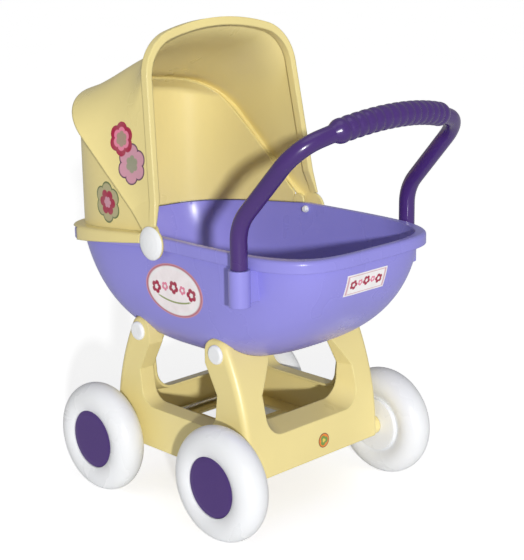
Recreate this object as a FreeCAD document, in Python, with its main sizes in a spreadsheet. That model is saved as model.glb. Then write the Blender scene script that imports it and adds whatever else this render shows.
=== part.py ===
import FreeCAD, Part
import math
import os
import re

import Sketcher
from FreeCAD import Placement, Rotation, Vector

# A doll's pram: a boat-shaped tub with a two-piece hood, a bow handle, a moulded chassis and four wheels.
# +X runs from the hood (the front) to the handle (the rear), +Y to the pusher's right, +Z up.
# Sizes are millimetres.
# Everything is drawn about the middle of the wheelbase, then moved by SHIFT, so that the
# origin of the part is at the bottom centre of its box.

DIMENSIONS = {
    # wheels and axles
    "wheel_radius": 65, "wheelbase_half": 103.3, "track_half": 134.7, "tyre_half_width": 19.5,
    "disc_radius": 34.6, "disc_face": 15.8, "disc_thickness": 2.4, "wheel_wall": 2.2,
    "hub_radius": 8, "hub_outer_end": 8, "wheel_boss_radius": 32, "wheel_boss_face": 20.5,
    "axle_radius": 3, "axle_half_length": 147, "running_gap": 0.06, "part_gap": 0.3,
    "push_nut_radius": 6.5, "push_nut_width": 2.2,
    # chassis
    "chassis_half_width": 106.5, "chassis_floor": 58, "chassis_foot": 115, "chassis_wall": 3,
    "chassis_corner": 8, "chassis_curve_start": 66, "chassis_offset": 3, "axle_boss_radius": 12,
    "side_cut_bottom": 108, "side_cut_half": 61, "side_cut_depth": 20, "side_cut_corner": 20,
    "end_cut_bottom": 102, "end_cut_half": 74, "end_cut_fork": 77, "end_cut_depth": 31,
    "end_cut_corner": 24, "grid_pitch_x": 38, "grid_pitch_y": 42, "grid_bar": 8,
    "leg_top_x": 65, "leg_top_z": 197, "leg_top_radius": 17.5, "leg_waist_z": 184, "leg_plate": 12.1,
    "leg_fork_x": 66, "leg_fork_z": 150, "leg_pin_x": 66, "leg_pin_z": 197, "leg_pin_radius": 4,
    "leg_pin_length": 17.5, "leg_cap_radius": 11, "leg_cap_height": 3.6,
    # tub
    "tub_wall": 2.5, "tub_half_width": 119, "tub_half_length": 200.5, "tub_centre": 3.7,
    "tub_top": 308, "tub_bottom": 176, "rim_top": 320, "rim_height": 13, "rim_half_length": 205.5,
    "rim_half_width": 126.2, "rim_slope": 5.5, "rim_round": 4, "socket_radius": 11.5,
    "socket_top": 309, "socket_bottom": 270, "press_gap": 0.05,
    # handle
    "handle_x": 136.2, "handle_y": 132.7, "tube_radius": 9.1, "spigot_radius": 8, "tube_wall": 2,
    "handle_bend_z": 356, "handle_bend_length": 18, "handle_slope": 47.9, "bow_height": 142,
    "bow_radius": 278, "bow_corner": 43, "bow_leg_y": 127.8, "bow_leg_end": 90,
    "grip_half_length": 84, "rib_pitch": 11, "grip_radius": 11.7, "rib_radius": 12.8,
    # hood
    "pivot_x": -7.5, "pivot_z": 313, "knob_radius": 19, "knob_face": 133.4, "pin_radius": 3,
    "pin_end": 111.6, "clip_start": 114.4, "clip_end": 116.2, "clip_radius": 4.2,
    "hood_wall": 2.3, "front_angle": 97.8, "band_depth": 10, "lip_depth": 2.2, "visor_foot": 129, "visor_hub_radius": 18.6,
    "visor_hub_inner": 126.65, "visor_hub_outer": 129.2,
    "shell_angle": 137, "shell_half_width": 117, "shell_half_length": 197, "shell_crown": 228,
    "shell_shoulder": 66, "shell_crown_radius": 290, "shell_crease": 12, "shell_sweep": 27,
    "flange_half_width": 130, "flange_reach": 206.2, "flange_round": 4, "flange_front": -27, "flange_bottom": 310.5,
    "flange_slope": 8, "flange_ledge": 3,
    # stickers
    "decal_thickness": 0.3, "decal_float": 0.02, "badge_radius": 8.5, "badge_y": 12, "badge_z": 77,
}

SHIFT = Vector(-19, 0, 0)
FAR = 260            # beyond every part, for cutting blocks

doc = FreeCAD.newDocument("DollPram")
sizes = doc.addObject("Spreadsheet::Sheet", "Sizes")
for row, (alias, number) in enumerate(DIMENSIONS.items(), start=1):
    sizes.set("A%d" % row, alias)
    sizes.set("B%d" % row, str(number))
    sizes.setAlias("B%d" % row, alias)
doc.recompute()

nodes = []


def size(alias):
    """The value of one driving dimension, in millimetres or degrees."""
    return float(sizes.get(alias))


def keep(item, label):
    """Name a finished sub-part and move it to the part's own frame."""
    item.Label = label
    item.Placement = Placement(SHIFT, Rotation()).multiply(item.Placement)
    nodes.append(item)
    return item


def keep_shape(shape, label):
    """A sub-part whose shape is made directly."""
    item = doc.addObject("Part::Feature", label + "_shape")
    item.Shape = shape
    return keep(item, label)


def bind(item, **expressions):
    """Tie properties of an object to the sheet."""
    for name, text in expressions.items():
        item.setExpression(name.replace("__", "."), text)


# ---------------------------------------------------------------- shared outlines

def superellipse(half_length, half_width, power, centre, height, count=9):
    """A closed level outline of four smooth quarters, squarer with a higher power."""
    across, along = Vector(0, 1, 0), Vector(1, 0, 0)
    tangents = [(across, along * -1), (along * -1, across * -1), (across * -1, along), (along, across)]
    quarters = []
    for turn, (first, last) in enumerate(tangents):
        points = []
        for step in range(count + 1):
            angle = (turn + step / count) * math.pi / 2
            u, v = math.cos(angle), math.sin(angle)
            if step in (0, count):
                u, v = round(u), round(v)
            x = math.copysign(abs(u) ** (2 / power), u) * half_length
            y = math.copysign(abs(v) ** (2 / power), v) * half_width
            points.append(Vector(centre + x, y, height))
        curve = Part.BSplineCurve()
        curve.interpolate(Points=points, InitialTangent=first, FinalTangent=last)
        quarters.append(curve.toShape())
    return Part.Wire(quarters)


def prism(wire, direction):
    """The solid swept by a flat outline."""
    return Part.Face(wire).extrude(direction)


def side_prism(points, low_y, high_y):
    """A side outline of (x, z) points, carried across from low_y to high_y."""
    corners = [Vector(x, low_y, z) for x, z in points]
    return prism(Part.makePolygon(corners + corners[:1]), Vector(0, high_y - low_y, 0))


def both_sides(shape):
    """A shape and its mirror image across the middle plane."""
    return [shape, shape.mirror(Vector(0, 0, 0), Vector(0, 1, 0))]


# ---------------------------------------------------------------- tub

# levels of the tub's sections, as shares of its full depth; the last one is its flat bottom
TUB_LEVELS = (0.0, 0.12, 0.26, 0.40, 0.54, 0.68, 0.80, 0.89, 0.955)
TUB_END_CURVE = (1.74, 2.6)        # how the ends sweep in towards the bottom
TUB_SIDE_CURVE = (4.0, 3.1)        # how the flanks round in towards the bottom
TUB_SQUARENESS = (4.2, 2.8)        # power of the outline at the top and at the full depth
RIM_SQUARENESS = 4.6
FLANGE_SQUARENESS = 4.1


def tub_body(inset, top):
    """The boat-shaped body of the tub, moved inwards by inset, up to the height top."""
    full_depth = size("tub_top") - size("tub_bottom")
    wires = []
    for share in TUB_LEVELS:
        half_length = size("tub_half_length") * (1 - share ** TUB_END_CURVE[0]) ** (1 / TUB_END_CURVE[1])
        half_width = size("tub_half_width") * (1 - share ** TUB_SIDE_CURVE[0]) ** (1 / TUB_SIDE_CURVE[1])
        power = TUB_SQUARENESS[0] + (TUB_SQUARENESS[1] - TUB_SQUARENESS[0]) * share
        height = size("tub_top") - full_depth * share
        if share == TUB_LEVELS[-1]:
            height += inset
        wires.append(superellipse(half_length - inset, half_width - inset, power, size("tub_centre"), height))
    bowl = Part.makeLoft(wires, True)
    if top <= size("tub_top"):
        return bowl
    collar = prism(wires[0], Vector(0, 0, top - size("tub_top")))
    return bowl.fuse(collar).removeSplitter()


def rim_line(drop):
    """Side outline of everything below the rim's top line, lowered by drop."""
    top = size("rim_top") - drop
    fall = math.tan(math.radians(size("rim_slope")))
    bend = size("pivot_x")
    return [(bend, top), (FAR, top), (FAR, 0), (-FAR, 0), (-FAR, top - fall * (FAR + bend))]


def rounded_top(block, top, radius):
    """Round the outline of a block's upper face, which peaks at height top."""
    upper = [edge for edge in block.Edges if edge.Length > 60 and edge.BoundBox.YLength > 20
             and edge.BoundBox.ZMax > top - 0.1 and edge.BoundBox.XLength > 1]
    return block.makeFillet(radius, upper)


def rim_ring(grow):
    """The rolled rim: a ring that stands out from the wall all round the top."""
    outer = superellipse(size("rim_half_length") + grow, size("rim_half_width") + grow, RIM_SQUARENESS,
                         size("tub_centre"), size("socket_bottom"))
    block = prism(outer, Vector(0, 0, FAR))
    below_top = side_prism(rim_line(-grow), -FAR, FAR)
    below_band = side_prism(rim_line(size("rim_height") + grow), -FAR, FAR)
    ring = block.common(below_top).cut(below_band).Solids[0]
    return rounded_top(ring, size("rim_top") + grow, size("rim_round"))


def on_circle(centre, radius, angle):
    """A point of an upright circle, at an angle above the +X direction."""
    return centre + Vector(math.cos(angle), 0, math.sin(angle)) * radius


def end_curve(grow):
    """Centre, radius and last angle of the curved end of the chassis.

    It starts upright at the foot and meets the round top of the leg smoothly.
    """
    foot = size("chassis_foot") + grow
    radius = size("leg_top_radius") + grow
    rise, run = size("leg_top_z") - size("chassis_curve_start"), foot - size("leg_top_x")
    end_radius = (run ** 2 + rise ** 2 - radius ** 2) / (2 * (run - radius))
    centre = Vector(foot - end_radius, 0, size("chassis_curve_start"))
    aim = math.atan2(size("leg_top_z") - centre.z, size("leg_top_x") - centre.x)
    return centre, end_radius, aim


def leg_outline(grow):
    """Side outline of the upper half of one leg, centred on the chassis, grown by a margin."""
    centre, end_radius, aim = end_curve(grow)
    boss = Vector(size("leg_top_x"), 0, size("leg_top_z"))
    radius = size("leg_top_radius") + grow
    low = size("leg_fork_z") - grow
    start = math.asin((low - centre.z) / end_radius)
    foot = on_circle(centre, end_radius, start)
    touch = on_circle(centre, end_radius, aim)
    inner = boss - Vector(radius, 0, 0)
    waist = Vector(inner.x, 0, size("leg_waist_z"))
    fork = Vector(size("leg_fork_x") - grow, 0, low)
    pieces = [Part.Arc(foot, on_circle(centre, end_radius, (start + aim) / 2), touch),
              Part.Arc(touch, boss + Vector(0, 0, radius), inner), Part.LineSegment(inner, waist),
              Part.LineSegment(waist, fork), Part.LineSegment(fork, foot)]
    return Part.Wire([piece.toShape() for piece in pieces])


def four_legs(outline, inner_face, depth):
    """The same upright slab at all four legs, from inner_face outwards."""
    slab = prism(outline, Vector(0, depth, 0))
    slab.translate(Vector(0, inner_face, 0))
    pair = [slab, slab.mirror(Vector(0, 0, 0), Vector(1, 0, 0))]
    return pair + [each.mirror(Vector(0, 0, 0), Vector(0, 1, 0)) for each in pair]


def leg_pockets(grow):
    """The four places in the tub's flanks that take the tops of the legs."""
    inner_face = size("chassis_half_width") - size("leg_plate") - grow
    cutter = Part.makeCompound(four_legs(leg_outline(grow), inner_face, FAR))
    cutter.translate(Vector(size("chassis_offset"), 0, 0))
    return cutter


def cross_hole(radius, x, z, start_y):
    """A round cutter running outwards along +Y."""
    return Part.makeCylinder(radius, FAR, Vector(x, start_y, z), Vector(0, 1, 0))


def tub_shape():
    """The tub: a thin boat-shaped shell with a rolled rim, handle sockets and leg pockets."""
    wall = size("tub_wall")
    above = size("rim_top") + 5
    outside = tub_body(0, above).cut(leg_pockets(size("part_gap")))
    inside = tub_body(wall, above + 5).cut(leg_pockets(size("part_gap") + wall))
    shell = outside.common(side_prism(rim_line(0), -FAR, FAR)).fuse(rim_ring(0)).cut(inside)

    # sockets for the handle, each joined to the wall by a web
    x, y, low = size("handle_x"), size("handle_y"), size("socket_bottom")
    depth = size("socket_top") - low
    web_width, web_length, web_step = 10, 26, 2
    socket = Part.makeCylinder(size("socket_radius"), depth, Vector(x, y, low))
    web = Part.makeBox(web_width, web_length, depth - 2 * web_step,
                       Vector(x - web_width / 2, y - web_length, low + web_step))
    for part in both_sides(socket) + both_sides(web):
        shell = shell.fuse(part)
    shell = shell.cut(inside)

    socket_floor = 4
    bore = Part.makeCylinder(size("spigot_radius") + size("press_gap"), FAR, Vector(x, y, low + socket_floor))
    notch = Part.makeCylinder(size("tube_radius") + size("part_gap"), FAR, Vector(x, y, size("socket_top")))
    holes = [bore, notch, cross_hole(size("pin_radius") + size("press_gap"), size("pivot_x"), size("pivot_z"),
                                     size("tub_half_width") - 30)]
    pin_radius, pin_z = size("leg_pin_radius"), size("leg_pin_z")
    pocket_floor = size("chassis_half_width") - size("leg_plate") - size("part_gap") - wall
    barb_room = 12
    for leg_x in (size("chassis_offset") - size("leg_pin_x"), size("chassis_offset") + size("leg_pin_x")):
        holes.append(cross_hole(pin_radius + size("press_gap"), leg_x, pin_z, pocket_floor - barb_room))
        holes.append(Part.makeCylinder(pin_radius + 1 + size("part_gap"), barb_room,
                                       Vector(leg_x, pocket_floor - barb_room, pin_z), Vector(0, 1, 0)))
    for hole in holes:
        for part in both_sides(hole):
            shell = shell.cut(part)
    return shell.removeSplitter()


# ---------------------------------------------------------------- hood

def arch_edges(angle, foot_y, leg_y, leg_t, shoulder, crown, crown_radius, knee, foot_t=18):
    """An open arch in a plane through the pivot line: feet, legs, round shoulders and a crowned top.

    Distances along the plane are measured from the pivot line; angle is above the +X direction.
    """
    knee_y, knee_t = knee
    middle = crown - crown_radius
    lean = (leg_y - knee_y) / (leg_t - knee_t)
    tilt = math.atan(lean)
    # centre of the shoulder arc: shoulder inside the leg line and inside the crown circle
    inward = (-math.cos(tilt), math.sin(tilt))
    start = (leg_y + inward[0] * shoulder, leg_t + inward[1] * shoulder - middle)
    along = (math.sin(tilt), math.cos(tilt))
    reach = crown_radius - shoulder
    dot = start[0] * along[0] + start[1] * along[1]
    travel = -dot + math.sqrt(dot * dot - (start[0] ** 2 + start[1] ** 2 - reach ** 2))
    centre = (start[0] + along[0] * travel, start[1] + along[1] * travel + middle)
    touch_leg = (centre[0] - inward[0] * shoulder, centre[1] - inward[1] * shoulder)
    aim = math.atan2(centre[1] - middle, centre[0])
    touch_crown = (centre[0] + shoulder * math.cos(aim), centre[1] + shoulder * math.sin(aim))
    leg_aim = math.atan2(touch_leg[1] - centre[1], touch_leg[0] - centre[0])
    half_way = (aim + leg_aim) / 2
    on_arc = (centre[0] + shoulder * math.cos(half_way), centre[1] + shoulder * math.sin(half_way))
    slope = math.radians(angle)

    def place(y, t):
        return Vector(size("pivot_x") + t * math.cos(slope), y, size("pivot_z") + t * math.sin(slope))

    def arc(first, middle_point, last):
        return Part.Arc(first, middle_point, last).toShape()

    def line(first, last):
        return Part.LineSegment(first, last).toShape()

    return [
        line(place(foot_y, foot_t), place(knee_y, knee_t)),
        line(place(knee_y, knee_t), place(*touch_leg)),
        arc(place(*touch_leg), place(*on_arc), place(*touch_crown)),
        arc(place(*touch_crown), place(0, crown), place(-touch_crown[0], touch_crown[1])),
        arc(place(-touch_crown[0], touch_crown[1]), place(-on_arc[0], on_arc[1]),
            place(-touch_leg[0], touch_leg[1])),
        line(place(-touch_leg[0], touch_leg[1]), place(-knee_y, knee_t)),
        line(place(-knee_y, knee_t), place(-foot_y, foot_t)),
    ]


def closed(outer, inner=None):
    """Close an open path, or join two that run side by side, into one outline."""
    def end_to_end(first, last):
        return Part.LineSegment(first, last).toShape()

    start, finish = outer[0].Vertexes[0].Point, outer[-1].Vertexes[-1].Point
    if inner is None:
        return Part.Wire(outer + [end_to_end(finish, start)])
    inner_start, inner_finish = inner[0].Vertexes[0].Point, inner[-1].Vertexes[-1].Point
    return Part.Wire(outer + [end_to_end(finish, inner_finish)] + inner[::-1]
                     + [end_to_end(inner_start, start)])


# Sections of the visor from its front edge to its rear lip: angle, half-width of the legs,
# where the legs end, shoulder radius, crown height and crown radius, all of the outer face.
VISOR_SECTIONS = [
    (97.8, 114.5, 150, 50, 230.5, 275),
    (101.5, 114.7, 148, 62, 219.5, 283),
    (106, 115.0, 145, 72, 215.5, 290),
    (118, 116.3, 140, 76, 215.5, 300),
    (129, 120.0, 140, 68, 221, 300),
    (135, 123.3, 140, 66, 229.5, 300),
    (139, 126.6, 140, 71, 239, 300),
]
VISOR_KNEE = (122.5, 46)           # half-width and distance from the pivot line where the legs bend
KNEE_SHARE = 0.3                   # how far the bend follows the widening of the legs


def visor_loft(outer_inset, inner_inset):
    """The visor's skin between two depths below its outer face."""
    wires = []
    for angle, leg_y, leg_t, shoulder, crown, crown_radius in VISOR_SECTIONS:
        knee_y = VISOR_KNEE[0] + (leg_y - VISOR_SECTIONS[0][1]) * KNEE_SHARE
        outer, inner = [arch_edges(angle, size("visor_foot") - inset, leg_y - inset, leg_t, shoulder - inset,
                                   crown - inset, crown_radius - inset, (knee_y - inset, VISOR_KNEE[1]))
                        for inset in (outer_inset, inner_inset)]
        wires.append(closed(outer, inner))
    return Part.makeLoft(wires, True)


def visor_shape():
    """The tilting front part of the hood: a thin skin, a thick front band and two pivot hubs."""
    angle = size("front_angle")
    front = math.radians(angle)
    forward = Vector(math.sin(front), 0, -math.cos(front))
    band_leg_end, knee = 150, VISOR_KNEE[1]
    outer = arch_edges(angle, size("visor_foot") + 0.1, 116.8, band_leg_end, 54, 236.5, 278, (124.5, knee))
    inner = arch_edges(angle, size("visor_hub_inner"), 109.4, band_leg_end, 46, 227.2, 270, (117.4, knee))
    band = prism(closed(outer, inner), forward * size("band_depth"))
    # the rear edge rolls inwards to close the gap to the rear shell
    lip_angle, leg_y, leg_end, shoulder, crown, crown_radius = VISOR_SECTIONS[-1]
    knee_y = VISOR_KNEE[0] + (leg_y - VISOR_SECTIONS[0][1]) * KNEE_SHARE
    inset = 1.6
    outer = arch_edges(lip_angle, size("visor_foot") - inset, leg_y - inset, leg_end, shoulder - inset,
                       crown - inset, crown_radius - inset, (knee_y - inset, knee))
    inner = arch_edges(lip_angle, 118.6, 118.2, leg_end, 67, 231.8, 291, (118.4, knee))
    back = math.radians(lip_angle)
    lip = prism(closed(outer, inner), Vector(math.sin(back), 0, -math.cos(back)) * size("lip_depth"))
    # round hubs that sit on the pins outside the rim
    hub = Part.makeCylinder(size("visor_hub_radius"), size("visor_hub_outer") - size("visor_hub_inner"),
                            Vector(size("pivot_x"), size("visor_hub_inner"), size("pivot_z")),
                            Vector(0, 1, 0))
    hole = cross_hole(size("pin_radius") + size("running_gap"), size("pivot_x"), size("pivot_z"),
                      size("tub_half_width"))
    shell = visor_loft(0, size("hood_wall")).fuse([band, lip] + both_sides(hub), 0.001)
    return shell.cut(both_sides(hole)).removeSplitter()


def rear_core(inset):
    """The room under the rear shell, moved inwards by inset from its outer face."""
    squareness, leg_end, spare = 4.0, 140, 6
    leg_y = size("shell_half_width") - inset
    plan = superellipse(size("shell_half_length") - inset, leg_y, squareness, 0, size("socket_bottom"))
    upright = prism(plan, Vector(0, 0, FAR))
    face = closed(arch_edges(size("shell_angle"), leg_y + spare, leg_y - 1.5, leg_end,
                             size("shell_shoulder") - inset, size("shell_crown") - inset,
                             size("shell_crown_radius") - inset, (leg_y + spare, 10), foot_t=-60))
    back = math.radians(size("shell_sweep"))
    swept = prism(face, Vector(-math.cos(back), 0, -math.sin(back)) * (FAR + 70))
    core = upright.common(swept).Solids[0]
    rear_edge = 6 - size("shell_half_length")
    crease = [edge for edge in core.Edges if edge.BoundBox.XMin < rear_edge and edge.BoundBox.YLength > 5
              and edge.BoundBox.ZMin > 400]
    return core.makeFillet(size("shell_crease") - inset, crease)


def shell_flange():
    """The ledge of the rear shell that sits over the tub's rim."""
    overhang = superellipse(size("flange_reach"), size("flange_half_width"), FLANGE_SQUARENESS, 0,
                            size("socket_bottom"))
    rise = size("flange_ledge") + size("part_gap")
    flange = prism(overhang, Vector(0, 0, FAR)).common(side_prism(rim_line(-rise), -FAR, FAR))
    flange = rounded_top(flange, size("rim_top") + rise, size("flange_round"))
    flange = flange.cut(rim_ring(size("part_gap"))).cut(rear_core(size("hood_wall")))
    under_rim = side_prism(rim_line(-size("part_gap")), -FAR, FAR)
    inner_room = superellipse(size("tub_half_length") + 1, size("tub_half_width") + 1, TUB_SQUARENESS[0],
                              size("tub_centre"), size("tub_bottom"))
    return flange.cut(prism(inner_room, Vector(0, 0, FAR)).common(under_rim))


def rear_shell_shape():
    """The fixed rear part of the hood: wall, roof, the ledge over the rim and two small lugs."""
    wall, top = size("hood_wall"), 600
    pivot_x, pivot_z = size("pivot_x"), size("pivot_z")
    front_x, bottom = size("flange_front"), size("flange_bottom")
    fall = math.tan(math.radians(size("flange_slope"))) * (FAR + front_x)
    behind_bottom = side_prism([(front_x, bottom), (front_x, top), (-FAR, top), (-FAR, bottom - fall)],
                               -FAR, FAR)
    plane = math.radians(size("shell_angle"))
    far_up = (pivot_x + 420 * math.cos(plane), pivot_z + 420 * math.sin(plane))
    behind_plane = side_prism([(pivot_x, pivot_z - 60), (pivot_x, pivot_z), far_up, (-300, pivot_z - 60)],
                              -FAR, FAR)
    hood = rear_core(0).cut(rear_core(wall)).common(behind_bottom).common(behind_plane)
    hood = hood.fuse(shell_flange().common(behind_bottom))
    lug_y = size("shell_half_width") - wall - 0.4
    lug = Part.makeCylinder(9, wall, Vector(pivot_x - 11.5, lug_y, pivot_z + 9), Vector(0, 1, 0))
    for part in both_sides(lug):
        hood = hood.fuse(part)

    # nothing of the shell goes down into the tub: it ends on the rim, or outside the tub's wall
    seat = size("rim_top") + 1.5
    fall = math.tan(math.radians(size("rim_slope"))) * (FAR + pivot_x)
    wall_y = size("shell_half_width") + 0.5
    on_rim = side_prism([(-FAR, seat - fall), (pivot_x, seat), (0, seat), (0, top), (-FAR, top)],
                        -wall_y, wall_y)
    beside = side_prism([(-FAR, 0), (0, 0), (0, top), (-FAR, top)], wall_y, FAR)
    behind_x = -size("shell_half_length") - 2
    behind = side_prism([(-FAR, 0), (behind_x, 0), (behind_x, top), (-FAR, top)], -FAR, FAR)
    hood = hood.common(on_rim.fuse(both_sides(beside) + [behind]))
    return max(hood.Solids, key=lambda solid: solid.Volume).removeSplitter()


# ---------------------------------------------------------------- handle

def bow_point(y, t):
    """A point of the bow, t up its slope from the bend."""
    slope = math.radians(size("handle_slope"))
    return Vector(size("handle_x") + t * math.cos(slope), y, size("handle_bend_z") + t * math.sin(slope))


def handle_path(start_z):
    """Centre line of the handle: upright legs, a bend, and a bow with round corners and a crowned top."""
    y0, y1, t1 = size("handle_y"), size("bow_leg_y"), size("bow_leg_end")
    radius, corner = size("bow_radius"), size("bow_corner")
    middle = size("bow_height") - radius
    tilt = math.atan((y1 - y0) / t1)
    inward = (-math.cos(tilt), math.sin(tilt))
    along = (math.sin(tilt), math.cos(tilt))
    start = (y0 + inward[0] * corner, inward[1] * corner - middle)
    reach = radius - corner
    dot = start[0] * along[0] + start[1] * along[1]
    travel = -dot + math.sqrt(dot * dot - (start[0] ** 2 + start[1] ** 2 - reach ** 2))
    centre = (start[0] + along[0] * travel, start[1] + along[1] * travel + middle)
    on_leg = (centre[0] - inward[0] * corner, centre[1] - inward[1] * corner)
    aim = math.atan2(centre[1] - middle, centre[0])
    on_crown = (centre[0] + corner * math.cos(aim), centre[1] + corner * math.sin(aim))
    half_way = (aim + math.atan2(on_leg[1] - centre[1], on_leg[0] - centre[0])) / 2
    on_corner = (centre[0] + corner * math.cos(half_way), centre[1] + corner * math.sin(half_way))
    # the bend where the upright leg leans back
    bend = size("handle_bend_length")
    up = Vector(0, 0, 1)
    lean = (bow_point(*on_leg) - bow_point(y0, 0)).normalize()
    vertex = bow_point(y0, 0)
    bend_start = vertex - up * bend
    bend_end = vertex + lean * bend
    turn = up.getAngle(lean)
    bend_radius = bend / math.tan(turn / 2)
    to_centre = (lean - up).normalize()
    bend_middle = vertex + to_centre * (bend_radius / math.cos(turn / 2) - bend_radius)

    def flip(point):
        return Vector(point.x, -point.y, point.z)

    half = [(Vector(size("handle_x"), y0, start_z), bend_start), (bend_start, bend_middle, bend_end),
            (bend_end, bow_point(*on_leg)), (bow_point(*on_leg), bow_point(*on_corner), bow_point(*on_crown))]
    other = [tuple(flip(point) for point in reversed(piece)) for piece in reversed(half)]
    crown = [(bow_point(*on_crown), bow_point(0, size("bow_height")), flip(bow_point(*on_crown)))]
    edges = []
    for piece in half + crown + other:
        curve = Part.LineSegment(*piece) if len(piece) == 2 else Part.Arc(*piece)
        edges.append(curve.toShape())
    return Part.Wire(edges)


def tube(path, radius):
    """A round bar along a path that starts upright."""
    start = path.Edges[0].Vertexes[0].Point
    ring = Part.Wire([Part.makeCircle(radius, start, Vector(0, 0, 1))])
    return path.makePipeShell([ring], True, False)


def grip_shape():
    """The thicker ribbed grip, a loft of rings along the crown of the bow."""
    radius = size("bow_radius")
    middle = size("bow_height") - radius
    half, pitch = size("grip_half_length"), size("rib_pitch")
    low, high = size("grip_radius"), size("rib_radius")
    end_radius, collar_radius, soft = size("tube_radius") - 0.5, low - 1.4, 0.25
    ribs = int(2 * half / pitch)
    first = -pitch * (ribs - 1) / 2
    stations = [(-half - 5, end_radius), (-half - 1, collar_radius)]
    for rib in range(ribs):
        centre = first + rib * pitch
        stations += [(centre - pitch / 2, low), (centre - pitch / 4, high - soft), (centre, high),
                     (centre + pitch / 4, high - soft)]
    stations += [(first + (ribs - 0.5) * pitch, low), (half + 1, collar_radius), (half + 5, end_radius)]
    rings = []
    for place, ring_radius in stations:
        turn = place / radius
        centre = bow_point(radius * math.sin(turn), middle + radius * math.cos(turn))
        ahead = bow_point(radius * math.sin(turn + 0.001), middle + radius * math.cos(turn + 0.001))
        rings.append(Part.Wire([Part.makeCircle(ring_radius, centre, (ahead - centre).normalize())]))
    return Part.makeLoft(rings, True)


def handle_shape():
    """The bow handle: a hollow bent tube with two thinner spigots and a ribbed grip."""
    low = size("socket_bottom") + 6
    body = tube(handle_path(size("socket_top") + 0.5), size("tube_radius")).fuse(grip_shape())
    spigot = Part.makeCylinder(size("spigot_radius"), size("socket_top") + 12 - low,
                               Vector(size("handle_x"), size("handle_y"), low))
    for part in both_sides(spigot):
        body = body.fuse(part)
    bore = tube(handle_path(low - 1), size("spigot_radius") - size("tube_wall"))
    return body.cut(bore).removeSplitter()


# ---------------------------------------------------------------- chassis

def chassis_side(grow):
    """Side outline of the whole chassis without its openings."""
    centre, end_radius, aim = end_curve(grow)
    boss = Vector(size("leg_top_x"), 0, size("leg_top_z"))
    radius = size("leg_top_radius") + grow
    curve = [on_circle(centre, end_radius, share * aim) for share in (0, 0.5, 1)]
    crown = [curve[2], on_circle(boss, radius, (aim + math.pi / 2) / 2), boss + Vector(0, 0, radius)]
    corner = Vector(size("chassis_foot") + grow, 0, size("chassis_floor"))

    def flip(point):
        return Vector(-point.x, point.y, point.z)

    pieces = [Part.LineSegment(corner, curve[0]), Part.Arc(*curve), Part.Arc(*crown),
              Part.LineSegment(crown[2], flip(crown[2])),
              Part.Arc(*[flip(point) for point in reversed(crown)]),
              Part.Arc(*[flip(point) for point in reversed(curve)]),
              Part.LineSegment(flip(curve[0]), flip(corner)), Part.LineSegment(flip(corner), corner)]
    return Part.Wire([piece.toShape() for piece in pieces])


def cut_outline(half_low, half_mid, bottom, corner):
    """A U-shaped outline with round lower corners; above the fork it follows the inside of the legs."""
    fork, waist, high = size("leg_fork_z"), size("leg_waist_z"), size("leg_top_z") + 60
    neck = half_mid - size("leg_fork_x") + size("leg_top_x") - size("leg_top_radius")
    points = [Vector(-neck, 0, high), Vector(-neck, 0, waist), Vector(-half_mid, 0, fork),
              Vector(-half_low, 0, bottom), Vector(half_low, 0, bottom), Vector(half_mid, 0, fork),
              Vector(neck, 0, waist), Vector(neck, 0, high)]
    block = prism(Part.makePolygon(points + points[:1]), Vector(0, 1, 0))
    lower = [edge for edge in block.Edges
             if edge.BoundBox.YLength > 0.5 and edge.BoundBox.ZMax < bottom + 1]
    block = block.makeFillet(corner, lower)
    face = [each for each in block.Faces if abs(each.BoundBox.YMax) < 1e-6][0]
    return face.OuterWire


def u_cut(half_low, half_mid, bottom, corner, drop, inset, depth):
    """A U-shaped opening running in along +Y; it gets narrower by inset and its bottom rises by drop."""

    def outline(less, rise):
        return cut_outline(half_low - less, half_mid - less, bottom + rise, corner)

    inner = outline(inset, drop)
    inner.translate(Vector(0, depth, 0))
    return Part.makeLoft([outline(0, 0), inner], True, True)


def chassis_box():
    """The chassis without its openings: a hollow box with round corners and a flat floor."""
    wall, half, floor = size("chassis_wall"), size("chassis_half_width"), size("chassis_floor")
    body = prism(chassis_side(0), Vector(0, 2 * half, 0))
    body.translate(Vector(0, -half, 0))
    corners = [edge for edge in body.Edges if edge.BoundBox.YLength < 1e-6 and edge.BoundBox.ZMax > floor + 1]
    body = body.makeFillet(size("chassis_corner"), corners)
    room = prism(chassis_side(-wall), Vector(0, 2 * (half - wall), 0))
    room.translate(Vector(0, wall - half, 0))
    above_floor = side_prism([(-FAR, floor + wall), (FAR, floor + wall), (FAR, FAR), (-FAR, FAR)], -FAR, FAR)
    return body, body.cut(room.common(above_floor)), above_floor


def opening_pairs(grow, deeper):
    """The U-shaped openings in both sides and both ends, grown by a margin."""
    side = u_cut(size("side_cut_half") + grow, size("leg_fork_x") + grow, size("side_cut_bottom") - grow,
                 size("side_cut_corner") + grow * 2 / 3, 2, 0, size("side_cut_depth") + deeper)
    side.translate(Vector(0, -size("chassis_half_width"), 0))
    end = u_cut(size("end_cut_half") + grow, size("end_cut_fork") + grow, size("end_cut_bottom") - grow,
                size("end_cut_corner") + grow * 2 / 3, 9, 10, size("end_cut_depth") + deeper)
    end.rotate(Vector(0, 0, 0), Vector(0, 0, 1), 90)
    end.translate(Vector(size("chassis_foot"), 0, 0))
    return both_sides(side) + [end, end.mirror(Vector(0, 0, 0), Vector(1, 0, 0))]


def floor_holes():
    """Rows of square holes that make the floor a grid."""
    holes = []
    columns, rows = 5, 4
    pitch_x, pitch_y, bar = size("grid_pitch_x"), size("grid_pitch_y"), size("grid_bar")
    for column in range(columns):
        for row in range(rows):
            corner = Vector((column - columns / 2) * pitch_x + bar / 2, (row - rows / 2) * pitch_y + bar / 2,
                            size("chassis_floor") - 1)
            holes.append(Part.makeBox(pitch_x - bar, pitch_y - bar, 2 * size("chassis_wall"), corner))
    return Part.makeCompound(holes)


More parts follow.
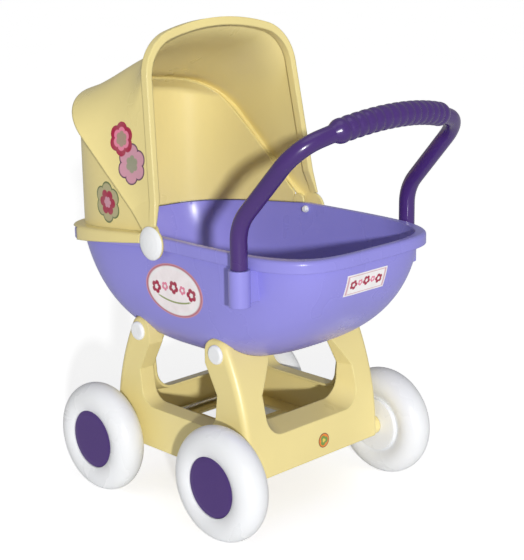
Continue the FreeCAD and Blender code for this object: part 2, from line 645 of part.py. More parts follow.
def with_axle_bosses(frame):
    """Add the round bosses at the axle ends and drill them through."""
    half = size("chassis_half_width")
    reach = size("track_half") - size("wheel_boss_face") - size("part_gap")
    boss_depth, block = 14, 60
    for x in (-size("wheelbase_half"), size("wheelbase_half")):
        centre = Vector(x - size("chassis_offset"), -reach, size("wheel_radius"))
        boss = Part.makeCylinder(size("axle_boss_radius"), 2 * reach, centre, Vector(0, 1, 0))
        between = Part.makeBox(block, 2 * (half - boss_depth), block,
                               centre + Vector(-block / 2, reach - half + boss_depth, -block / 2))
        bore = Part.makeCylinder(size("axle_radius") + size("press_gap"), 2 * reach, centre, Vector(0, 1, 0))
        frame = frame.fuse(boss.cut(between)).cut(bore)
    return frame


def chassis_shape():
    """The one-piece chassis: floor grid, pierced walls with inward flanges, legs and axle bosses."""
    wall, half = size("chassis_wall"), size("chassis_half_width")
    body, frame, above_floor = chassis_box()
    for lining in opening_pairs(wall, 0):
        frame = frame.fuse(lining.common(body).common(above_floor))
    frame = frame.fuse([plate.common(body) for plate in
                        four_legs(leg_outline(0), half - size("leg_plate"), size("leg_plate"))])
    for cutter in opening_pairs(0, 0.5):
        frame = frame.cut(cutter)
    fork = size("leg_fork_z")
    below_fork = side_prism([(-FAR, 0), (FAR, 0), (FAR, fork), (-FAR, fork)], -FAR, FAR)
    frame = frame.common(Part.makeCompound([below_fork]).fuse(four_legs(leg_outline(0), 0, half)))
    frame = with_axle_bosses(frame.cut(floor_holes()))
    hole = Part.makeCircle(size("leg_pin_radius") + size("press_gap"),
                           Vector(size("leg_pin_x"), 0, size("leg_pin_z")), Vector(0, 1, 0))
    frame = frame.cut(four_legs(Part.Wire([hole]), half - 2 * size("leg_plate"), FAR))
    frame.translate(Vector(size("chassis_offset"), 0, 0))
    clear_of_tub = tub_body(-size("part_gap"), size("tub_top")).cut(leg_pockets(0))
    frame = frame.cut(clear_of_tub)
    return max(frame.Solids, key=lambda solid: solid.Volume).removeSplitter()


# ---------------------------------------------------------------- wheels

def make_wheel(label, x, side):
    """A hollow moulded wheel: a fat round tyre, an inner web with a raised boss, and a hub tube."""
    centre = Vector(x, side * size("track_half"), size("wheel_radius"))
    turned = Rotation(Vector(1, 0, 0), -90 * side)   # local +Z points outwards, away from the chassis

    def torus(name, inset):
        item = doc.addObject("Part::Torus", name)
        bind(item, Radius1="Sizes.wheel_radius - Sizes.tyre_half_width",
             Radius2="Sizes.tyre_half_width - %d * Sizes.wheel_wall" % inset)
        return item

    def cylinder(name, radius, height, base):
        item = doc.addObject("Part::Cylinder", name)
        bind(item, Radius=radius, Height=height, Placement__Base__z=base)
        return item

    def join(kind, name, base, tool):
        item = doc.addObject("Part::" + kind, name)
        item.Base = base
        item.Tool = tool
        return item

    tyre = torus(label + "_tyre", 0)
    web = cylinder(label + "_web", "Sizes.disc_radius + 8", "2 * Sizes.disc_face - 2", "-Sizes.disc_face")
    solid = join("Fuse", label + "_solid", tyre, web)
    boss = cylinder(label + "_boss", "Sizes.wheel_boss_radius", "10", "-Sizes.wheel_boss_face")
    solid = join("Fuse", label + "_bossed", solid, boss)
    air = torus(label + "_air", 1)
    well = cylinder(label + "_well", "Sizes.disc_radius", "60", "-Sizes.disc_face + Sizes.wheel_wall")
    hollow = join("Fuse", label + "_hollow", air, well)
    shell = join("Cut", label + "_shell", solid, hollow)
    hub = cylinder(label + "_hub", "Sizes.hub_radius", "Sizes.hub_outer_end + Sizes.disc_face",
                   "-Sizes.disc_face")
    hubbed = join("Fuse", label + "_hubbed", shell, hub)
    bore = cylinder(label + "_bore", "Sizes.axle_radius + Sizes.running_gap", "200", "-100")
    wheel = join("Cut", label + "_cut", hubbed, bore)
    wheel.Placement = Placement(centre, turned)
    keep(wheel, label)


def profile(body, name, corners):
    """A closed outline in a body's XY plane; each corner is a pair of sheet expressions."""
    plane = [item for item in body.Origin.OriginFeatures if item.Role == "XY_Plane"][0]
    sketch = body.newObject("Sketcher::SketchObject", name)
    sketch.AttachmentSupport = [(plane, "")]
    sketch.MapMode = "FlatFace"
    points = [Vector(sizes.evalExpression(u), sizes.evalExpression(v), 0) for u, v in corners]
    count = len(points)
    for index in range(count):
        sketch.addGeometry(Part.LineSegment(points[index], points[(index + 1) % count]), False)
    for index in range(count):
        sketch.addConstraint(Sketcher.Constraint("Coincident", index, 2, (index + 1) % count, 1))
    for index, corner in enumerate(corners):
        for kind, axis, text, number in (("DistanceX", -2, corner[0], points[index].x),
                                         ("DistanceY", -1, corner[1], points[index].y)):
            if abs(number) < 1e-9:
                sketch.addConstraint(Sketcher.Constraint("PointOnObject", index, 1, axis))
                continue
            place = sketch.addConstraint(Sketcher.Constraint(kind, -1, 1, index, 1, number))
            sketch.setExpression("Constraints[%d]" % place, re.sub(r"[a-z]\w+", r"Sizes.\g<0>", text))
    return sketch


def revolve(body, name, sketch):
    """Turn an outline about the body's own Y axis."""
    turned = body.newObject("PartDesign::Revolution", name)
    turned.Profile = sketch
    turned.ReferenceAxis = (sketch, ["V_Axis"])
    turned.Angle = 360
    return turned


def turned_part(label, corners, centre, side):
    """A PartDesign body turned from (radius, height) corners; its axis points to one side (+1 or -1)."""
    body = doc.addObject("PartDesign::Body", label + "_body")
    sketch = profile(body, label + "_outline", corners)
    revolve(body, label + "_turned", sketch)
    doc.recompute()
    body.Placement = Placement(centre, Rotation(Vector(0, 0, 1), 0 if side > 0 else 180))
    keep(body, label)


def make_hub_disc(label, x, side):
    """A flat round cover with a soft edge and a snap skirt, pressed into the wheel."""
    top = "disc_face"
    corners = [("0", top), ("disc_radius - 6", top), ("disc_radius - 1", "disc_face - 0.5"),
               ("disc_radius", "disc_face - 1.4"), ("disc_radius", "disc_face - disc_thickness"),
               ("disc_radius - 2", "disc_face - disc_thickness"), ("disc_radius - 2", "disc_face - 8"),
               ("disc_radius - 3.6", "disc_face - 8"), ("disc_radius - 3.6", "disc_face - disc_thickness"),
               ("0", "disc_face - disc_thickness")]
    turned_part(label, corners, Vector(x, side * size("track_half"), size("wheel_radius")), side)


def make_axle(label, x):
    """A plain rod right through the chassis and both wheels."""
    axle = doc.addObject("Part::Cylinder", label + "_rod")
    bind(axle, Radius="Sizes.axle_radius", Height="2 * Sizes.axle_half_length")
    axle.Placement = Placement(Vector(x, size("axle_half_length"), size("wheel_radius")),
                               Rotation(Vector(1, 0, 0), 90))
    keep(axle, label)


def make_push_nuts():
    """The four pressed nuts that hold the wheels on, one solid at each axle end."""
    solids = []
    for x in (-size("wheelbase_half"), size("wheelbase_half")):
        for side in (-1, 1):
            start = side * (size("track_half") + size("hub_outer_end") + size("part_gap"))
            base = Vector(x, start, size("wheel_radius"))
            along = Vector(0, side, 0)
            ring = Part.makeCylinder(size("push_nut_radius"), size("push_nut_width"), base, along)
            solids.append(ring.cut(Part.makeCylinder(size("axle_radius"), 20, base - along * 5, along)))
    keep_shape(Part.makeCompound(solids), "axle_push_nuts")


# ---------------------------------------------------------------- pins and knobs

def make_hood_knob(label, side):
    """A white dome on a pin; the pin passes through the visor hub and the rim."""
    corners = [("0", "knob_face"), ("knob_radius - 11", "knob_face - 0.4"),
               ("knob_radius - 5", "knob_face - 1.4"), ("knob_radius - 1.5", "knob_face - 2.7"),
               ("knob_radius", "visor_hub_outer + part_gap"), ("pin_radius", "visor_hub_outer + part_gap"),
               ("pin_radius", "pin_end"), ("0", "pin_end")]
    turned_part(label, corners, Vector(size("pivot_x"), 0, size("pivot_z")), side)


def make_pin_clip(label, side):
    """The retainer pressed on the end of the hood pin inside the tub."""
    corners = [("pin_radius", "clip_start"), ("clip_radius", "clip_start"), ("clip_radius", "clip_end"),
               ("pin_radius", "clip_end")]
    turned_part(label, corners, Vector(size("pivot_x"), 0, size("pivot_z")), side)


def make_leg_pins():
    """Four snap pins with domed caps that join the legs to the tub."""
    radius, length, height = size("leg_pin_radius"), size("leg_pin_length"), size("leg_cap_height")
    cap_round, barb_length = 2.8, 4
    solids = []
    for x in (-size("leg_pin_x"), size("leg_pin_x")):
        base = Vector(x + size("chassis_offset"), size("chassis_half_width"), size("leg_pin_z"))
        along = Vector(0, 1, 0)
        cap = Part.makeCylinder(size("leg_cap_radius"), height, base, along)
        rim = [edge for edge in cap.Edges if edge.Closed and edge.BoundBox.YMin > base.y + height - 0.01]
        shaft = Part.makeCylinder(radius, length, base, along * -1)
        barb = Part.makeCone(radius + 1, radius - 1, barb_length, base - along * (length - 2.2), along * -1)
        solids += both_sides(cap.makeFillet(cap_round, rim).fuse(shaft).fuse(barb).removeSplitter())
    keep_shape(Part.makeCompound(solids), "leg_pins")


# ---------------------------------------------------------------- decals

def punch(face, x, z, low_y, high_y):
    """A flat outline, drawn about the origin of the XZ plane, carried across from low_y to high_y."""
    placed = face.copy()
    placed.translate(Vector(x, low_y, z))
    return placed.extrude(Vector(0, high_y - low_y, 0))


def ellipse_face(half_long, half_short):
    """A flat oval in the XZ plane."""
    ellipse = Part.Wire([Part.Ellipse(Vector(0, 0, 0), half_long, half_short).toShape()])
    ellipse.rotate(Vector(0, 0, 0), Vector(1, 0, 0), 90)
    return Part.Face(ellipse)


def flower_face(radius, petals, petal_radius):
    """Round petals in a ring about a round middle."""
    ring = radius - petal_radius
    middle = Part.Face(Part.Wire([Part.makeCircle(ring, Vector(0, 0, 0), Vector(0, 1, 0))]))
    leaves = []
    for petal in range(petals):
        angle = 2 * math.pi * (petal + 0.5) / petals
        centre = Vector(math.cos(angle), 0, math.sin(angle)) * ring
        leaves.append(Part.Face(Part.Wire([Part.makeCircle(petal_radius, centre, Vector(0, 1, 0))])))
    return middle.fuse(leaves).removeSplitter()


def skin_between(make, low, thick):
    """A thin layer over a surface; make(inset) is the solid inside that surface."""
    return make(-low - thick).cut(make(-low))


def make_decals():
    """Thin labels that follow the surface they are stuck to."""
    thick, gap = size("decal_thickness"), size("decal_float")
    tub_skin = skin_between(lambda inset: tub_body(inset, size("tub_top")), gap, thick)
    shell_skin = skin_between(rear_core, gap, thick)
    visor_skin = visor_loft(-gap - thick, -gap)
    oval = ellipse_face(47, 30.5)
    upper, lower = flower_face(19, 6, 9), flower_face(23, 6, 10.5)
    single = flower_face(24, 6, 10.5)
    for side, low, high in (("left", -150, -60), ("right", 60, 150)):
        keep_shape(tub_skin.common(punch(oval, 16, 261.5, low, high)), "tub_label_" + side)
        flowers = punch(upper, -65.5, 421, low, high).fuse(punch(lower, -46.5, 395, low, high))
        keep_shape(visor_skin.common(flowers), "visor_flowers_" + side)
        keep_shape(shell_skin.common(punch(single, -99, 344.5, low, high)), "shell_flower_" + side)
    foot = Part.makeBox(60, 62, 24, Vector(180, -41, 272))
    keep_shape(tub_skin.common(foot), "foot_label")

    side_skin = skin_between(lambda inset: prism(chassis_side(-inset), Vector(0, 40, 0)), gap, thick)
    disc = Part.makeCylinder(size("badge_radius"), FAR, Vector(90, size("badge_y"), size("badge_z")),
                             Vector(1, 0, 0))
    badge = side_skin.common(disc)
    badge.translate(Vector(size("chassis_offset"), 0, 0))
    keep_shape(badge, "chassis_badge")


# ---------------------------------------------------------------- build everything

keep_shape(tub_shape(), "tub")
keep_shape(rear_shell_shape(), "hood_rear_shell")
keep_shape(visor_shape(), "hood_visor")
keep_shape(handle_shape(), "handle")
keep_shape(chassis_shape(), "chassis")
SIDES = (("left", -1), ("right", 1))
for end_name, end_x in (("front", -size("wheelbase_half")), ("rear", size("wheelbase_half"))):
    make_axle("axle_" + end_name, end_x)
    for side_name, side in SIDES:
        make_wheel("wheel_%s_%s" % (end_name, side_name), end_x, side)
        make_hub_disc("hub_disc_%s_%s" % (end_name, side_name), end_x, side)
make_push_nuts()
for side_name, side in SIDES:
    make_hood_knob("hood_knob_" + side_name, side)
    make_pin_clip("hood_pin_clip_" + side_name, side)
make_leg_pins()
make_decals()

doc.recompute()
for item in doc.Objects:
    if "Invalid" in item.State or "Error" in item.State:
        raise RuntimeError("failed feature: " + item.Label)
os.makedirs("parts", exist_ok=True)
box = FreeCAD.BoundBox()
for node in nodes:
    shape = node.Shape
    if shape.isNull() or not shape.isValid():
        raise RuntimeError("bad shape: " + node.Label)
    box.add(shape.BoundBox)
    shape.exportStep("parts/%s.step" % node.Label)
    print("%-22s solids %d  volume %9.0f" % (node.Label, len(shape.Solids), shape.Volume))
print("box", box)
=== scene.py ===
import math

import bpy
from mathutils import Matrix, Vector


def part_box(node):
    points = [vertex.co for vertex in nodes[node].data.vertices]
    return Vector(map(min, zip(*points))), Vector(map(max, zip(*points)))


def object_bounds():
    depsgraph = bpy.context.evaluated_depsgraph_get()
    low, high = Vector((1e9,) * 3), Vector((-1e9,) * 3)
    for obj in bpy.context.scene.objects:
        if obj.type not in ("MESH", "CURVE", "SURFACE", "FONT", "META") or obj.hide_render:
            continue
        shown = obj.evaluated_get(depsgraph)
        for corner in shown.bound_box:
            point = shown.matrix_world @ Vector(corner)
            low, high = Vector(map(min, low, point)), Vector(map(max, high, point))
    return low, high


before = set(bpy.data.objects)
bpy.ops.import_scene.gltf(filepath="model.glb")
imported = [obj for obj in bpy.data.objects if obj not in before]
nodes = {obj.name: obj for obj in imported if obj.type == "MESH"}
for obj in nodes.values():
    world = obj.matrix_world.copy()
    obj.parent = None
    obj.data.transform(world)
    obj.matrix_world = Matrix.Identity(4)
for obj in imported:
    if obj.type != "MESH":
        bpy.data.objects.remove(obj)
cad_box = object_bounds()
SIDES = ("left", "right")
WHEELS = ["%s_%s" % (end, side) for end in ("front", "rear") for side in SIDES]


# ---------------------------------------------------------------- material graphs

class Graph:
    """A material's nodes, with short ways to add and join them."""

    def __init__(self, name):
        self.material = bpy.data.materials.new(name)
        self.material.use_nodes = True
        self.tree = self.material.node_tree
        self.tree.nodes.clear()
        self.shader = self.node("ShaderNodeBsdfPrincipled")
        output = self.node("ShaderNodeOutputMaterial")
        self.tree.links.new(self.shader.outputs[0], output.inputs["Surface"])
        self.place = self.node("ShaderNodeTexCoord").outputs["Object"]

    def node(self, kind, **settings):
        made = self.tree.nodes.new(kind)
        for name, value in settings.items():
            setattr(made, name, value)
        return made

    def feed(self, socket, value):
        """Join a socket to another, or set its own value."""
        if isinstance(value, bpy.types.NodeSocket):
            self.tree.links.new(value, socket)
        else:
            socket.default_value = value

    def set(self, **values):
        """Set or join inputs of the surface shader; an underscore stands for a space."""
        for name, value in values.items():
            self.feed(self.shader.inputs[name.replace("_", " ")], value)

    def calc(self, operation, first, second=0.0, third=0.0):
        made = self.node("ShaderNodeMath", operation=operation)
        for socket, value in zip(made.inputs, (first, second, third)):
            self.feed(socket, value)
        return made.outputs[0]

    def noise(self, scale, detail=3.0, roughness=0.55, stretch=None):
        place = self.place
        if stretch:
            mapping = self.node("ShaderNodeMapping")
            self.feed(mapping.inputs["Vector"], place)
            mapping.inputs["Scale"].default_value = stretch
            place = mapping.outputs[0]
        made = self.node("ShaderNodeTexNoise")
        self.feed(made.inputs["Vector"], place)
        made.inputs["Scale"].default_value = scale
        made.inputs["Detail"].default_value = detail
        made.inputs["Roughness"].default_value = roughness
        return made.outputs["Fac"]

    def span(self, value, low, high, to_low=0.0, to_high=1.0, smooth=False):
        """Carry the range low..high over to to_low..to_high."""
        made = self.node("ShaderNodeMapRange", interpolation_type="SMOOTHSTEP" if smooth else "LINEAR")
        for socket, given in zip(made.inputs, (value, low, high, to_low, to_high)):
            self.feed(socket, given)
        return made.outputs["Result"]

    def mix(self, share, first, second):
        made = self.node("ShaderNodeMix", data_type="RGBA")
        self.feed(made.inputs["Factor"], share)
        self.feed(made.inputs["A"], first)
        self.feed(made.inputs["B"], second)
        return made.outputs["Result"]

    def bump(self, height, depth, strength=1.0, normal=None):
        """Raise the surface by depth metres where height is 1."""
        made = self.node("ShaderNodeBump")
        made.inputs["Strength"].default_value = strength
        made.inputs["Distance"].default_value = depth
        self.feed(made.inputs["Height"], height)
        if normal is not None:
            self.feed(made.inputs["Normal"], normal)
        return made.outputs["Normal"]

    def rounded(self, radius):
        """A normal that softens every edge as a mould does, and a mask that is 1 at those edges."""
        bevel = self.node("ShaderNodeBevel", samples=4)
        bevel.inputs["Radius"].default_value = radius
        flat = self.node("ShaderNodeNewGeometry").outputs["Normal"]
        dot = self.node("ShaderNodeVectorMath", operation="DOT_PRODUCT")
        self.feed(dot.inputs[0], bevel.outputs[0])
        self.feed(dot.inputs[1], flat)
        return bevel.outputs[0], self.span(dot.outputs["Value"], 0.995, 0.90, smooth=True)


def shade(colour, factor):
    """The same colour, darker or lighter."""
    return tuple(min(1.0, part * factor) for part in colour[:3]) + (1.0,)


def plastic(name, colour, gloss=0.30, orange_peel=0.00002, wave=0.00035, scuff=0.5, coat=0.0, edge=0.0007):
    """Injection-moulded plastic: soft edges, faint flow marks and waves, handling scuffs and edge wear."""
    g = Graph(name)
    soft_normal, edges = g.rounded(edge)
    broad = g.noise(7.0, 2.0)
    flow = g.noise(14.0, 3.0, stretch=(1.0, 1.0, 0.5))
    specks = g.noise(420.0, 2.0)
    scratches = g.noise(60.0, 6.0, 0.7, stretch=(0.25, 1.0, 1.6))
    tone = g.mix(g.span(broad, 0.35, 0.65), shade(colour, 0.955), shade(colour, 1.03))
    tone = g.mix(g.span(flow, 0.45, 0.75, 0.0, 0.35), tone, shade(colour, 0.955))
    worn = g.calc("MULTIPLY", edges, g.span(scratches, 0.42, 0.66))
    worn = g.calc("MULTIPLY", worn, scuff)
    tone = g.mix(worn, tone, shade(colour, 1.35))
    dirt = g.calc("MULTIPLY", g.span(g.noise(150.0, 5.0, 0.65), 0.64, 0.80), 0.10)
    tone = g.mix(dirt, tone, shade(colour, 0.62))
    rough = g.span(flow, 0.3, 0.7, gloss - 0.04, gloss + 0.05)
    rough = g.calc("ADD", rough, g.span(scratches, 0.60, 0.80, 0.0, 0.10))
    rough = g.calc("ADD", rough, g.calc("MULTIPLY", worn, 0.25))
    normal = g.bump(broad, wave, 0.4, soft_normal)
    normal = g.bump(specks, orange_peel, 0.8, normal)
    normal = g.bump(g.span(scratches, 0.62, 0.70), -0.00002, 0.5, normal)
    g.set(Base_Color=tone, Roughness=rough, Normal=normal, IOR=1.49, Specular_IOR_Level=0.5)
    g.set(Coat_Weight=coat, Coat_Roughness=0.12)
    return g


def milky_plastic(name, colour, depth, weight, gloss=0.28):
    """White plastic that lets a share of the light (weight) into its skin, to a depth in metres."""
    g = plastic(name, colour, gloss=gloss, scuff=0.25, wave=0.0002)
    g.set(Subsurface_Weight=weight, Subsurface_Radius=(1.0, 0.95, 0.9), Subsurface_Scale=depth)
    return g


def steel(name):
    """Drawn steel rod with fine lines along its length and small marks."""
    g = Graph(name)
    soft_normal, edges = g.rounded(0.0004)
    lines = g.noise(900.0, 3.0, stretch=(1.0, 0.04, 1.0))
    marks = g.noise(90.0, 5.0, 0.7)
    tone = g.mix(g.span(marks, 0.4, 0.7), (0.62, 0.62, 0.64, 1.0), (0.42, 0.41, 0.41, 1.0))
    rough = g.calc("ADD", g.span(lines, 0.3, 0.7, 0.22, 0.34), g.span(marks, 0.5, 0.8, 0.0, 0.2))
    g.set(Base_Color=tone, Roughness=rough, Metallic=1.0, Normal=g.bump(lines, 0.00002, 0.7, soft_normal))
    return g


# ---------------------------------------------------------------- sticker art

RED = (0.38, 0.006, 0.050, 1.0)
PINK = (0.78, 0.22, 0.34, 1.0)
PALE_PINK = (0.62, 0.30, 0.38, 1.0)
PLUM = (0.10, 0.05, 0.09, 1.0)
GREY_CREAM = (0.38, 0.27, 0.20, 1.0)
GREY_GREEN = (0.30, 0.30, 0.20, 1.0)
PALE_GREEN = (0.46, 0.42, 0.22, 1.0)
DARK_GREEN = (0.12, 0.17, 0.05, 1.0)
PAPER = (0.90, 0.88, 0.88, 1.0)
ORANGE = (0.80, 0.23, 0.02, 1.0)
BROWN = (0.16, 0.05, 0.02, 1.0)
LEAF = (0.16, 0.30, 0.05, 1.0)


def flat_place(g, across, centre):
    """Coordinates of a sticker in its own plane, from its centre; across is the level axis, 0 or 1."""
    parts = g.node("ShaderNodeSeparateXYZ")
    g.feed(parts.inputs[0], g.place)
    u = g.calc("SUBTRACT", parts.outputs[across], centre[across])
    v = g.calc("SUBTRACT", parts.outputs[2], centre[2])
    return u, v


def polar(g, u, v):
    """Distance and angle of a place from the origin."""
    distance = g.calc("SQRT", g.calc("ADD", g.calc("MULTIPLY", u, u), g.calc("MULTIPLY", v, v)))
    return distance, g.calc("ARCTAN2", v, u)


def petal_distance(g, u, v, radius, petals, dip, turn=0.0):
    """1 on the outline of a flower with round petals, less inside it."""
    distance, angle = polar(g, u, v)
    wave = g.calc("ABSOLUTE", g.calc("COSINE", g.calc("MULTIPLY_ADD", angle, petals / 2, turn)))
    reach = g.calc("MULTIPLY_ADD", g.calc("POWER", wave, 0.55), dip * radius, (1 - dip) * radius)
    return g.calc("DIVIDE", distance, reach)


def inside(g, distance, edge, soft=0.03):
    """1 where distance is under edge, with a slightly soft printed edge."""
    return g.span(distance, edge + soft, edge - soft)


def bands(g, distance, outermost, layers):
    """Colours in nested outlines: layers are (edge, colour), from the largest inwards."""
    tone = outermost
    for edge, colour in layers:
        tone = g.mix(inside(g, distance, edge), tone, colour)
    return tone


FILM_GLOSS = 0.33


def printed(g, tone):
    """Finish a sticker: faint ink variation, a few rubbed specks, a slightly uneven film."""
    rubbed = g.span(g.noise(700.0, 4.0, 0.7), 0.66, 0.72, 0.0, 0.35)
    ink = g.noise(60.0, 3.0)
    tone = g.mix(rubbed, tone, (0.82, 0.79, 0.74, 1.0))
    tone = g.mix(g.span(ink, 0.4, 0.8, 0.0, 0.22), tone, (0.42, 0.34, 0.32, 1.0))
    g.set(Base_Color=tone, Roughness=g.span(ink, 0.3, 0.7, FILM_GLOSS - 0.05, FILM_GLOSS + 0.08),
          Normal=g.bump(ink, 0.00006, 0.6))
    return g


def visor_flowers(name, node):
    """Two overlapping flowers: a dark red one with a pink heart above a pale pink one."""
    g = Graph(name)
    low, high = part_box(node)
    reach_upper, reach_lower = (0.0177, 0.019), (0.0213, 0.023)
    upper_radius, lower_radius = 0.0195, 0.0235
    upper = Vector((low.x + reach_upper[0], 0, high.z - reach_upper[1]))      # centres of the two flowers
    lower = Vector((high.x - reach_lower[0], 0, low.z + reach_lower[1]))
    u, v = flat_place(g, 0, upper)
    top = petal_distance(g, u, v, upper_radius, 6, 0.24, math.pi / 2)
    top_tone = bands(g, top, RED, [(0.68, PINK), (0.46, GREY_CREAM)])
    u, v = flat_place(g, 0, lower)
    under = petal_distance(g, u, v, lower_radius, 6, 0.26, math.pi / 2)
    under_tone = bands(g, under, PLUM, [(0.91, PALE_PINK), (0.42, GREY_GREEN)])
    return printed(g, g.mix(inside(g, top, 1.0), under_tone, top_tone))


def shell_flower(name, node):
    """One flower: pale green petals outlined in dark green round a smaller dark red flower."""
    g = Graph(name)
    low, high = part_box(node)
    u, v = flat_place(g, 0, (low + high) / 2)
    petal_radius, heart_radius = 0.0245, 0.0150
    petals = petal_distance(g, u, v, petal_radius, 6, 0.24, math.pi / 2)
    heart = petal_distance(g, u, v, heart_radius, 6, 0.30)
    tone = bands(g, petals, DARK_GREEN, [(0.90, PALE_GREEN)])
    tone = g.mix(inside(g, heart, 1.0), tone, bands(g, heart, RED, [(0.45, PALE_PINK)]))
    return printed(g, tone)


def flower_row(g, u, v, tone, count, pitch, radius, rise, colours):
    """A row of small flowers that arches up in the middle."""
    for index in range(count):
        offset = (index - (count - 1) / 2) * pitch
        share = 2 * abs(offset) / (pitch * (count - 1))
        own_u = g.calc("SUBTRACT", u, offset)
        own_v = g.calc("SUBTRACT", v, rise * (1 - share ** 2))
        size = radius * (1.25 if index % 2 == 0 else 0.85)
        flower = petal_distance(g, own_u, own_v, size, 5, 0.35, 0.4 * index)
        tone = g.mix(inside(g, flower, 1.0, 0.08), tone, colours[index % 2])
        tone = g.mix(inside(g, flower, 0.38, 0.08), tone, PAPER)
    return tone


def oval_label(name, node):
    """A pale oval with a double outline and a garland of small flowers."""
    g = Graph(name)
    low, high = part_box(node)
    half = (high - low) / 2
    u, v = flat_place(g, 0, (low + high) / 2)
    distance, _ = polar(g, g.calc("DIVIDE", u, half.x), g.calc("DIVIDE", v, half.z))
    tone = bands(g, distance, PALE_PINK, [(0.955, RED), (0.915, PAPER), (0.80, (0.93, 0.86, 0.87, 1.0))])
    pitch, flower_radius, rise = 0.0145, 0.0062, 0.004
    tone = flower_row(g, u, v, tone, 5, pitch, flower_radius, rise, (RED, PINK))
    stem_drop, stem_curve, stem_width, stem_reach = 0.013, 6.0, 0.0010, 0.026
    below = g.calc("ADD", v, stem_drop)
    curve = g.calc("MULTIPLY", g.calc("MULTIPLY", u, u), stem_curve)
    stem = g.calc("ABSOLUTE", g.calc("SUBTRACT", below, curve))
    stem = g.calc("MAXIMUM", g.calc("DIVIDE", stem, stem_width),
                  g.calc("DIVIDE", g.calc("ABSOLUTE", u), stem_reach))
    tone = g.mix(inside(g, stem, 1.0, 0.1), tone, (0.30, 0.36, 0.14, 1.0))
    return printed(g, tone)


def oblong_label(name, node):
    """A small pale oblong with a thin outline and a row of flowers."""
    g = Graph(name)
    low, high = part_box(node)
    half = (high - low) / 2
    u, v = flat_place(g, 1, (low + high) / 2)
    rim = 0.0016
    side = g.calc("DIVIDE", g.calc("ABSOLUTE", u), half.y - rim)
    top = g.calc("DIVIDE", g.calc("ABSOLUTE", v), half.z - rim)
    distance = g.calc("MAXIMUM", side, top)
    tone = bands(g, distance, PAPER, [(1.0, PALE_PINK), (0.93, PAPER)])
    pitch, flower_radius, rise = 0.0098, 0.0044, 0.0015
    return printed(g, flower_row(g, u, v, tone, 5, pitch, flower_radius, rise, (RED, PINK)))


def badge(name, node):
    """A little round badge in warm rings with a leaf-green heart."""
    g = Graph(name)
    low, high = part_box(node)
    u, v = flat_place(g, 1, (low + high) / 2)
    distance, _ = polar(g, u, v)
    disc_radius, flower_radius = 0.0085, 0.0062
    flower = petal_distance(g, u, v, flower_radius, 3, 0.45)
    tone = bands(g, g.calc("DIVIDE", distance, disc_radius), BROWN, [(0.90, ORANGE)])
    tone = g.mix(inside(g, flower, 1.0, 0.08), tone, LEAF)
    tone = g.mix(inside(g, flower, 0.4, 0.08), tone, (0.80, 0.62, 0.10, 1.0))
    return printed(g, tone)


# ---------------------------------------------------------------- dress the CAD nodes

# linear base colours
CREAM = (0.83, 0.70, 0.30, 1.0)
LILAC = (0.285, 0.265, 0.72, 1.0)
PURPLE = (0.062, 0.024, 0.165, 1.0)
WHITE = (0.86, 0.87, 0.88, 1.0)

# how far each moulding's edges are softened, in metres
HOOD_EDGE = 0.0026
CHASSIS_EDGE = 0.0018
TUB_EDGE = 0.0014

# how deep light goes into the white plastic, in metres
WHEEL_SKIN = 0.008
CAP_SKIN = 0.004


def dress(node, graph):
    """Give a CAD node one material in place of its own."""
    mesh = nodes[node].data
    mesh.materials.clear()
    mesh.materials.append(graph.material)
    mesh.polygons.foreach_set("material_index", [0] * len(mesh.polygons))


def dress_all():
    cream_hood = plastic("cream_hood", CREAM, gloss=0.30, edge=HOOD_EDGE)
    cream_chassis = plastic("cream_chassis", CREAM, gloss=0.31, edge=CHASSIS_EDGE)
    lilac = plastic("lilac_tub", LILAC, gloss=0.29, scuff=0.25, edge=TUB_EDGE)
    tube = plastic("purple_handle", PURPLE, gloss=0.24, scuff=0.5, coat=0.15)
    disc = plastic("purple_disc", PURPLE, gloss=0.34, scuff=0.5)
    wheel = milky_plastic("white_wheel", WHITE, WHEEL_SKIN, 0.25)
    cap = milky_plastic("white_cap", WHITE, CAP_SKIN, 0.2, gloss=0.25)
    rod = steel("steel_rod")
    finishes = {"tub": lilac, "hood_rear_shell": cream_hood, "hood_visor": cream_hood, "handle": tube,
                "chassis": cream_chassis, "leg_pins": cap, "axle_front": rod, "axle_rear": rod,
                "axle_push_nuts": rod, "foot_label": oblong_label("foot_print", "foot_label"),
                "chassis_badge": badge("badge_print", "chassis_badge")}
    for wheel_name in WHEELS:
        finishes["wheel_" + wheel_name] = wheel
        finishes["hub_disc_" + wheel_name] = disc
    for side in SIDES:
        finishes["hood_knob_" + side] = cap
        finishes["hood_pin_clip_" + side] = cap
        finishes["tub_label_" + side] = oval_label("oval_print_" + side, "tub_label_" + side)
        finishes["visor_flowers_" + side] = visor_flowers("flower_print_" + side, "visor_flowers_" + side)
        finishes["shell_flower_" + side] = shell_flower("shell_print_" + side, "shell_flower_" + side)
    for node, graph in finishes.items():
        dress(node, graph)


# ---------------------------------------------------------------- stage, light and camera

CAMERA_PLACE = Vector((1.1036, -1.060, 0.657))
CAMERA_YAW = math.radians(45.79)
CAMERA_PITCH = math.radians(-14.86)
CAMERA_ROLL = math.radians(-0.89)
CAMERA_LENS = 88.14                # mm
CAMERA_SENSOR = 36                 # mm wide
KEY_ASIDE = math.radians(7.5)      # how far the key light stands to the right of the camera
KEY_BELOW = math.radians(2.6)      # and how far below it
KEY_SPREAD = math.radians(2.2)
KEY_STRENGTH = 2.5
OVERHEAD_PLACE = Vector((0.3, -0.3, 1.9))
OVERHEAD_POWER = 4.0               # W
OVERHEAD_WIDTH = 1.4               # m
SURROUND_STRENGTH = 0.34
FLOOR_GLOW = 0.54                  # seen by the camera only, so the ground stays almost white
FLOOR_HALF = 20.0                  # m


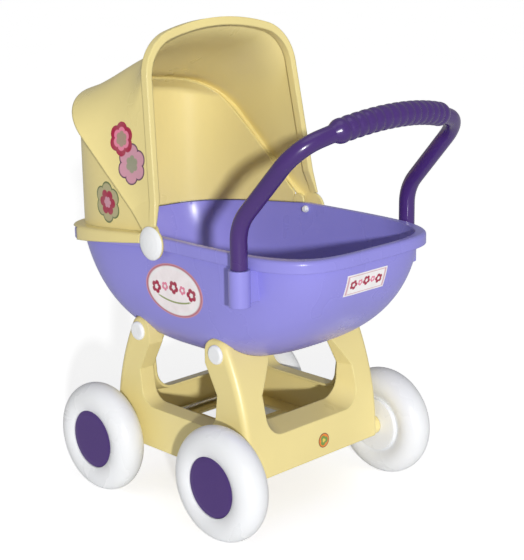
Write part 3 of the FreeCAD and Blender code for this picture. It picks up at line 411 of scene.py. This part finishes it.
def camera_axes():
    """Right, up and forward of the camera."""
    level_right = Vector((math.cos(CAMERA_YAW), math.sin(CAMERA_YAW), 0))
    forward = Vector((-math.sin(CAMERA_YAW) * math.cos(CAMERA_PITCH),
                      math.cos(CAMERA_YAW) * math.cos(CAMERA_PITCH), math.sin(CAMERA_PITCH)))
    level_up = level_right.cross(forward)
    right = level_right * math.cos(CAMERA_ROLL) + level_up * math.sin(CAMERA_ROLL)
    up = level_up * math.cos(CAMERA_ROLL) - level_right * math.sin(CAMERA_ROLL)
    return right, up, forward


def make_camera():
    right, up, forward = camera_axes()
    data = bpy.data.cameras.new("camera")
    data.sensor_width = CAMERA_SENSOR
    data.lens = CAMERA_LENS
    camera = bpy.data.objects.new("camera", data)
    turn = Matrix((right, up, -forward)).transposed()
    camera.matrix_world = Matrix.Translation(CAMERA_PLACE) @ turn.to_4x4()
    bpy.context.scene.collection.objects.link(camera)
    bpy.context.scene.camera = camera


def add_light(name, kind, back, **settings):
    """A light that shines along the direction opposite to back, placed along back from the object."""
    data = bpy.data.lights.new(name, kind)
    for setting, value in settings.items():
        setattr(data, setting, value)
    low, high = cad_box
    light = bpy.data.objects.new(name, data)
    light.location = (low + high) / 2 + back
    light.rotation_mode = "QUATERNION"
    light.rotation_quaternion = back.to_track_quat("Z", "Y")
    bpy.context.scene.collection.objects.link(light)


def make_lights():
    """A distant key just beside the camera, a large soft light overhead and a pale surround."""
    right, up, forward = camera_axes()
    toward_key = right * math.tan(KEY_ASIDE) - up * math.tan(KEY_BELOW) - forward
    add_light("key", "SUN", toward_key * 2.0, energy=KEY_STRENGTH, angle=KEY_SPREAD)
    add_light("overhead", "AREA", OVERHEAD_PLACE, energy=OVERHEAD_POWER, shape="DISK",
              size=OVERHEAD_WIDTH)
    world = bpy.data.worlds.new("surround")
    world.use_nodes = True
    background = world.node_tree.nodes["Background"]
    background.inputs["Color"].default_value = (1.0, 1.0, 1.0, 1.0)
    background.inputs["Strength"].default_value = SURROUND_STRENGTH
    bpy.context.scene.world = world
    bpy.context.scene.view_settings.view_transform = "Standard"


def make_floor():
    """A wide pale floor under the wheels."""
    g = Graph("pale_floor")
    grain = g.noise(3.0, 4.0)
    seen = g.node("ShaderNodeLightPath").outputs["Is Camera Ray"]
    g.set(Base_Color=g.mix(grain, (0.90, 0.90, 0.90, 1.0), (0.94, 0.94, 0.94, 1.0)),
          Roughness=g.span(g.noise(40.0), 0.3, 0.7, 0.75, 0.85),
          Emission_Color=(1.0, 1.0, 1.0, 1.0), Emission_Strength=g.calc("MULTIPLY", seen, FLOOR_GLOW))
    half = FLOOR_HALF
    height = cad_box[0].z
    mesh = bpy.data.meshes.new("floor")
    corners = [(-half, -half, height), (half, -half, height), (half, half, height), (-half, half, height)]
    mesh.from_pydata(corners, [], [(0, 1, 2, 3)])
    mesh.materials.append(g.material)
    floor = bpy.data.objects.new("floor", mesh)
    bpy.context.scene.collection.objects.link(floor)


dress_all()
make_floor()
make_lights()
make_camera()
